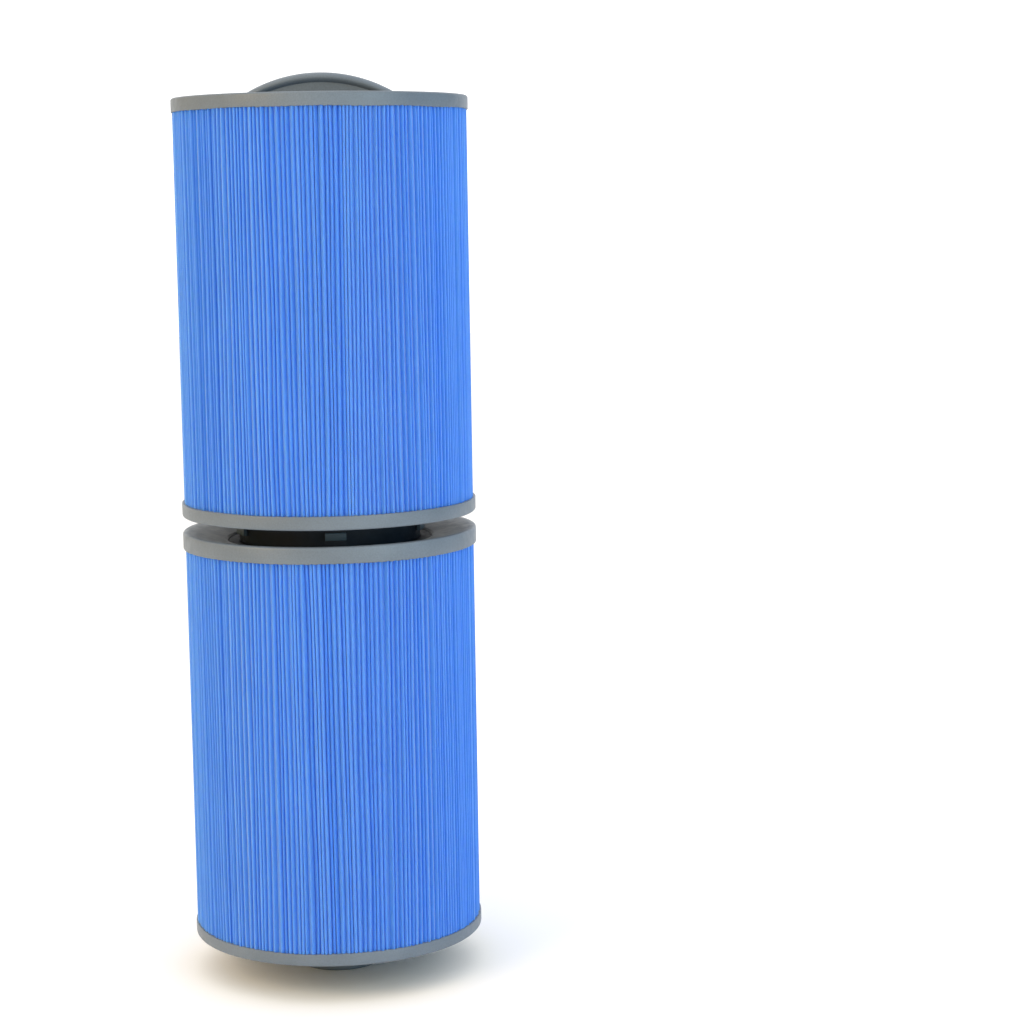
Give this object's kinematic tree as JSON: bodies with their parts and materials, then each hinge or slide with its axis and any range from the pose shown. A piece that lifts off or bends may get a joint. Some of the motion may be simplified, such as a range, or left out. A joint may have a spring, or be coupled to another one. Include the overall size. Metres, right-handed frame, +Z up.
{
  "type": "two-stage pleated filter cartridge",
  "caption": "Two-stage pleated spa filter cartridge: a grip-top cartridge stacked on a threaded-neck cartridge, joined by a twist-lock coupling ring.",
  "frame": {"origin": "centre of the threaded neck's open end, on the cartridge's axis", "axes": "+Z up along the axis from the threaded neck to the grip; the grip's fin runs along X; -Y is the front"},
  "size_m": [0.152, 0.152, 0.4656],
  "materials": {
    "cap_urethane": "soft satin moulded urethane, cool blue-grey",
    "moulded_plastic": "smooth moulded plastic, cool blue-grey",
    "pleated_fabric": "blue spun-bonded polyester, fine fibrous weave",
    "core_plastic": "pale moulded plastic",
    "coupling_plastic": "dark blue-black moulded plastic, satin",
    "seal_rubber": "black rubber"
  },
  "bodies": {
    "lower_cartridge": {"threaded_neck": "moulded_plastic", "neck_cap": "cap_urethane", "lower_core": "core_plastic", "lower_pleated_media": "pleated_fabric", "lower_inner_cap": "cap_urethane", "lock_socket": "coupling_plastic"},
    "coupling": {"coupling_ring": "coupling_plastic", "lower_seal": "seal_rubber", "upper_seal": "seal_rubber"},
    "upper_cartridge": {"upper_inner_cap": "cap_urethane", "key_socket": "coupling_plastic", "upper_core": "core_plastic", "upper_pleated_media": "pleated_fabric", "handle_cap": "cap_urethane", "grip_handle": "cap_urethane"}
  },
  "joints": [
    {"name": "lock_twist", "type": "hinge", "parent": "lower_cartridge", "child": "coupling", "pos_m": [0, 0, 0.2272], "axis": [0, 0, 1], "range_deg": [0, 36]},
    {"name": "upper_lift", "type": "slide", "parent": "coupling", "child": "upper_cartridge", "axis": [0, 0, 1], "range_m": [0, 0.024]}
  ]
}
